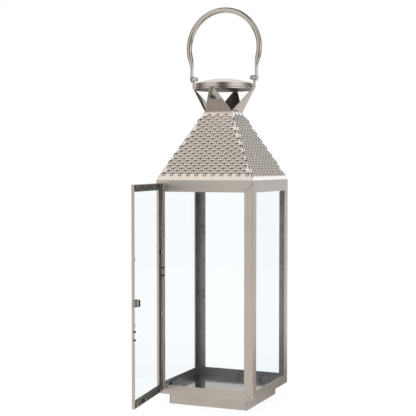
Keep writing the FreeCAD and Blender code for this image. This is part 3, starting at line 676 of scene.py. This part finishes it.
# ---------------------------------------------------------------------------------------------
# Studio
# ---------------------------------------------------------------------------------------------

# Painted reflection of the floor that the steel alone sees, by distance from a point right of the
# lantern's middle; the dark near tone is a painted shadow of the lantern
FLOOR_SHADOW_NEAR = (0.29, 0.27, 0.25)
FLOOR_MIDDLE = (0.66, 0.63, 0.60)
FLOOR_FAR = (0.78, 0.745, 0.71)
FLOOR_GLOW = 0.95
FLOOR_RADIUS = 2.5
SHADOW_PATCH_CENTRE = (0.12, 0.25)


def make_floor():
    """A pale disc under the lantern, almost free of shadow, which glows as a painted reflection
    with a painted shadow patch where the steel mirrors it.
    """
    mesh = bpy.data.meshes.new("studio_floor")
    form = bmesh.new()
    bmesh.ops.create_circle(form, cap_ends=True, radius=FLOOR_RADIUS, segments=96)
    form.to_mesh(mesh)
    form.free()
    floor = bpy.data.objects.new("studio_floor", mesh)
    floor.location.z = -0.0004
    bpy.context.scene.collection.objects.link(floor)
    tree = Tree("studio_floor_painted_reflection")
    # Mirrored rays see the glowing painted reflection with its painted shadow; all other rays see
    # the glowing pale floor.
    is_glossy = tree.add("ShaderNodeLightPath").outputs["Is Glossy Ray"]
    where = tree.add("ShaderNodeTexCoord").outputs["Object"]
    offset = (-SHADOW_PATCH_CENTRE[0], -SHADOW_PATCH_CENTRE[1], 0)
    near = tree.add("ShaderNodeMapping", {"Vector": where, "Location": offset})
    length = tree.add("ShaderNodeVectorMath", {0: near.outputs["Vector"]}, operation="LENGTH")
    painted_shadow_patch = tree.ramp(
        tree.remap(length.outputs["Value"], 0.0, 1.0),
        [(0.0, FLOOR_SHADOW_NEAR), (0.12, FLOOR_SHADOW_NEAR), (0.34, FLOOR_MIDDLE), (1.0, FLOOR_FAR)],
    )
    mirrored = tree.add("ShaderNodeEmission", {"Color": painted_shadow_patch, "Strength": 1.0})
    matt = tree.add("ShaderNodeBsdfDiffuse", {"Color": (0.93, 0.93, 0.93, 1)})
    glow = tree.add("ShaderNodeEmission", {"Color": (1, 1, 1, 1), "Strength": 1.0})
    direct = tree.mix_shaders(FLOOR_GLOW, matt, glow)
    mesh.materials.append(tree.close(tree.mix_shaders(is_glossy, direct, mirrored)))


# Soft panels round the lantern as the steel mirrors them: the place round the ring, where 0 and 1
# are -Y, 0.25 is -X, 0.5 is +Y and 0.75 is +X, then the brightness and the tint
WARM_LIGHT, COOL_LIGHT = (1.0, 0.96, 0.93), (1.0, 1.02, 1.06)
LEVEL_PANELS = (
    (0.00, 0.38, WARM_LIGHT), (0.03, 0.78, WARM_LIGHT), (0.12, 0.84, WARM_LIGHT),
    (0.18, 0.40, WARM_LIGHT), (0.225, 0.18, WARM_LIGHT), (0.29, 0.35, WARM_LIGHT),
    (0.34, 0.85, WARM_LIGHT), (0.39, 0.55, WARM_LIGHT), (0.438, 0.42, WARM_LIGHT),
    (0.49, 0.60, COOL_LIGHT), (0.53, 0.88, COOL_LIGHT), (0.58, 0.88, COOL_LIGHT),
    (0.632, 0.22, WARM_LIGHT), (0.68, 0.40, WARM_LIGHT), (0.724, 0.75, WARM_LIGHT),
    (0.78, 1.0, WARM_LIGHT), (0.84, 1.0, WARM_LIGHT), (0.875, 0.66, WARM_LIGHT),
    (0.917, 0.20, WARM_LIGHT), (0.965, 0.12, WARM_LIGHT), (1.00, 0.38, WARM_LIGHT),
)
RAISED_PANELS = (
    (0.00, 0.60, WARM_LIGHT), (0.03, 0.80, WARM_LIGHT), (0.16, 0.80, WARM_LIGHT),
    (0.20, 0.30, WARM_LIGHT), (0.25, 0.07, WARM_LIGHT), (0.38, 0.10, WARM_LIGHT),
    (0.41, 0.85, WARM_LIGHT), (0.47, 0.85, WARM_LIGHT), (0.49, 0.20, COOL_LIGHT),
    (0.52, 1.20, COOL_LIGHT), (0.565, 1.20, COOL_LIGHT), (0.59, 0.20, WARM_LIGHT),
    (0.61, 0.05, WARM_LIGHT), (0.72, 0.05, WARM_LIGHT), (0.76, 0.70, WARM_LIGHT),
    (0.81, 0.90, WARM_LIGHT), (0.85, 0.60, WARM_LIGHT), (0.89, 0.30, WARM_LIGHT),
    (0.96, 0.35, WARM_LIGHT), (1.00, 0.60, WARM_LIGHT),
)
# Brightness by height, from straight down at 0 through level at 0.5 to straight up at 1
BRIGHT_BY_HEIGHT = (
    (0.0, 0.30), (0.40, 0.45), (0.485, 0.85), (0.525, 1.0), (0.675, 1.05),
    (0.80, 1.25), (0.905, 1.35), (0.93, 0.22), (1.0, 0.10),
)
RAISED_FROM, RAISED_TO = 0.56, 0.64


def panel_stops(panels):
    return [(place, tuple(level * channel for channel in tint)) for place, level, tint in panels]


def make_world():
    """A white surround that the steel mirrors as soft bright and dim panels."""
    tree = Tree("studio_world", world=True)
    bpy.context.scene.world = tree.owner
    where = tree.add("ShaderNodeTexCoord").outputs["Generated"]
    axes = tree.add("ShaderNodeSeparateXYZ", {0: where}).outputs
    around = tree.share(tree.math("ARCTAN2", axes["X"], axes["Y"]), -math.pi, math.pi)
    height = tree.share(axes["Z"], -1, 1)
    level = tree.ramp(height, [(place, grey(bright)) for place, bright in BRIGHT_BY_HEIGHT])
    lift = tree.ramp(height, [(RAISED_FROM, grey(0)), (RAISED_TO, grey(1))])
    low_ring = tree.ramp(around, panel_stops(LEVEL_PANELS))
    high_ring = tree.ramp(around, panel_stops(RAISED_PANELS))
    panels = tree.mix(1.0, tree.mix(lift, low_ring, high_ring), level, "MULTIPLY")
    is_glossy = tree.add("ShaderNodeLightPath").outputs["Is Glossy Ray"]
    seen = tree.mix(is_glossy, (1, 1, 1, 1), panels)
    tree.close(tree.add("ShaderNodeBackground", {"Color": seen, "Strength": 1.0}))


LIGHT_TARGET = Vector((0, 0, 0.35))


def make_light(name, place, size, power, colour):
    """A rectangular softbox aimed at the lantern, not itself mirrored by the steel."""
    light = bpy.data.lights.new(name, "AREA")
    light.shape = "RECTANGLE"
    light.size, light.size_y = size
    light.energy = power
    light.color = colour
    lamp = bpy.data.objects.new(name, light)
    lamp.location = place
    aim = LIGHT_TARGET - Vector(place)
    lamp.rotation_euler = aim.to_track_quat("-Z", "Y").to_euler()
    lamp.visible_glossy = False
    bpy.context.scene.collection.objects.link(lamp)


CAMERA_HEADING = math.radians(22.27)
CAMERA_DISTANCE = 1.885
CAMERA_HEIGHT = 0.4204
CAMERA_PITCH = math.radians(2.35)
CAMERA_YAW = CAMERA_HEADING + math.radians(0.856)


def make_camera():
    """The eye is a little above the foot of the roof, to the right of the front."""
    camera_data = bpy.data.cameras.new("camera")
    camera_data.sensor_width = 36
    camera_data.lens = 91.35
    camera = bpy.data.objects.new("camera", camera_data)
    side, front = math.sin(CAMERA_HEADING), -math.cos(CAMERA_HEADING)
    camera.location = (CAMERA_DISTANCE * side, CAMERA_DISTANCE * front, CAMERA_HEIGHT)
    camera.rotation_euler = (math.radians(90) - CAMERA_PITCH, 0, CAMERA_YAW)
    bpy.context.scene.collection.objects.link(camera)
    bpy.context.scene.camera = camera


make_floor()
make_world()
make_light("overhead_softbox", (-0.3, -0.6, 2.2), (2.0, 2.0), 26, (1, 0.98, 0.96))
make_light("rear_softbox", (0.5, 1.9, 1.2), (2.0, 1.6), 14, (1, 1, 1))
make_camera()

view_settings = bpy.context.scene.view_settings
view_settings.view_transform = "Standard"
view_settings.look = "None"
